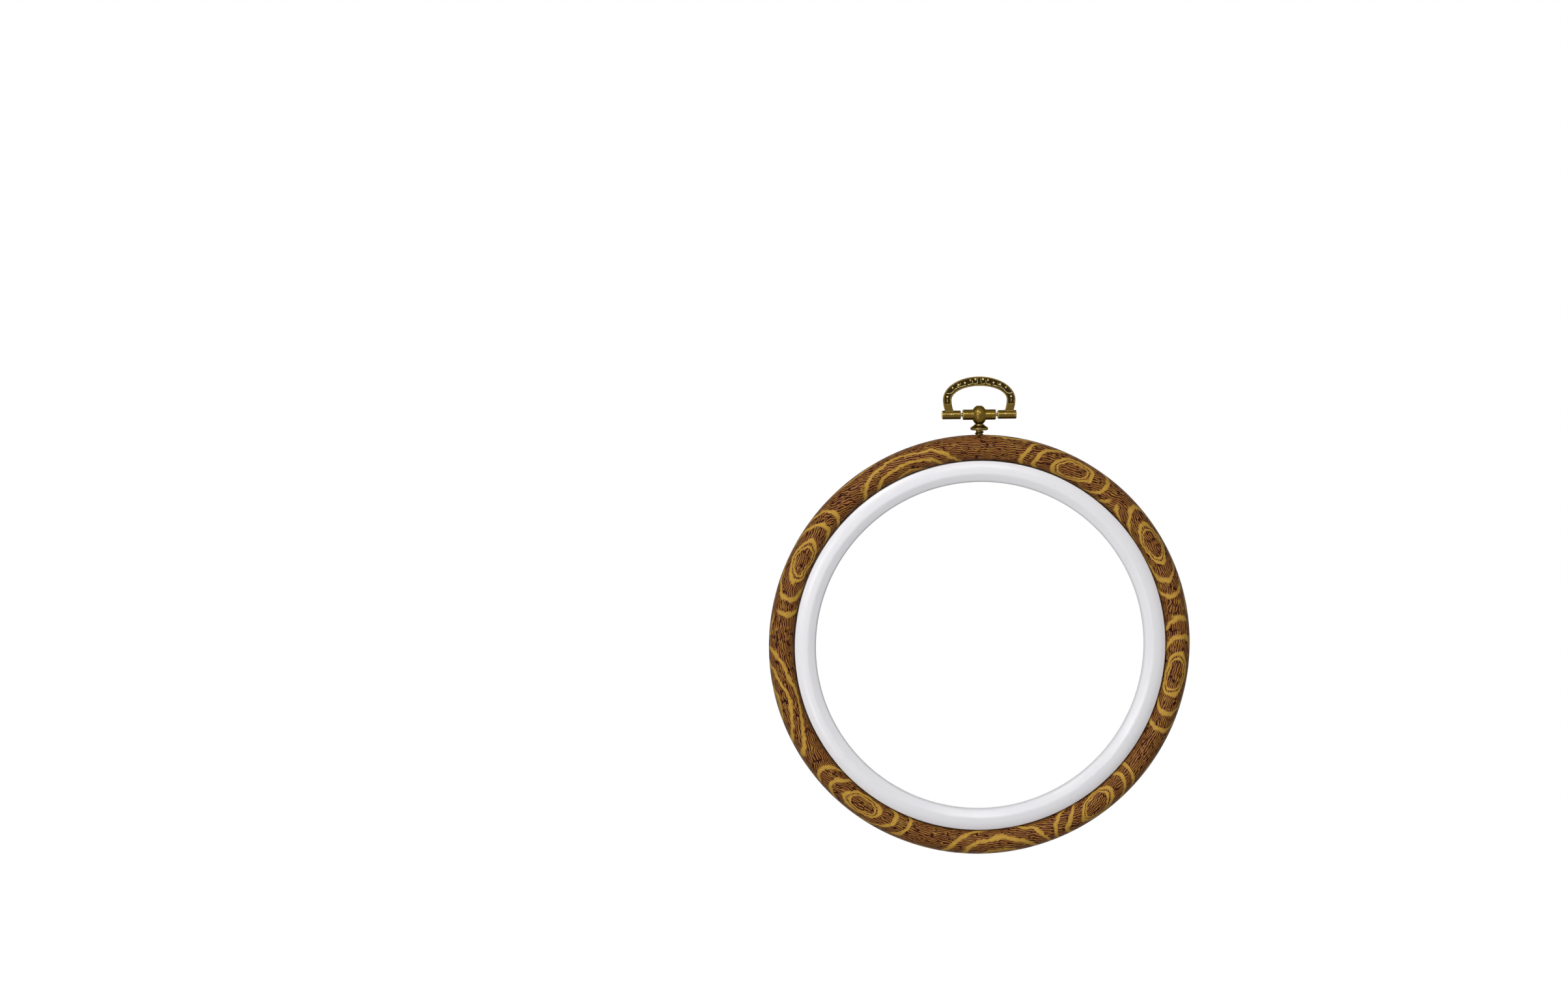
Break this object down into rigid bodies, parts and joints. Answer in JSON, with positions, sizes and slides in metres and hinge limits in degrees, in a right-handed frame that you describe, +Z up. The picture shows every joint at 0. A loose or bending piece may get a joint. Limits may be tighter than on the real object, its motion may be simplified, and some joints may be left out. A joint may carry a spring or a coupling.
{
  "type": "embroidery hoop",
  "caption": "Round stretch embroidery hoop: a soft imitation-wood outer ring over a rigid white inner ring, with a swivelling brass hanging bail.",
  "frame": {"origin": "the point inside the top of the bail that rests on a nail, on the middle plane of the bail's strip", "axes": "+Z up with the hoop hanging below the origin, -Y the way the front faces, +X to the right seen from the front"},
  "size_m": [0.16, 0.012, 0.1819],
  "materials": {
    "imitation_wood_vinyl": "soft vinyl printed with a reddish brown and ochre wood grain, half gloss",
    "white_plastic": "rigid moulded plastic, cool white, half gloss",
    "antique_brass": "antiqued: dark in the hollows, rubbed bright on the raised edges",
    "screw_brass": "antiqued, with a brighter worn neck"
  },
  "bodies": {
    "bail_body": {"bail": "antique_brass", "hinge_pin": "screw_brass"},
    "ball_body": {"swivel_ball": "antique_brass"},
    "hoop_body": {"outer_hoop": "imitation_wood_vinyl", "hanger_screw": "screw_brass"},
    "inner_hoop_body": {"inner_hoop": "white_plastic"}
  },
  "joints": [
    {"name": "bail_hinge", "type": "hinge", "parent": "bail_body", "child": "ball_body", "pos_m": [0, 0, -0.01089], "axis": [1, 0, 0], "range_deg": [-115, 115]},
    {"name": "screw_swivel", "type": "hinge", "parent": "ball_body", "child": "hoop_body", "pos_m": [0, 0, -0.01089], "axis": [0, 0, 1], "continuous": true},
    {"name": "inner_hoop_release", "type": "slide", "parent": "hoop_body", "child": "inner_hoop_body", "axis": [0, 1, 0], "range_m": [0, 0.02]}
  ]
}
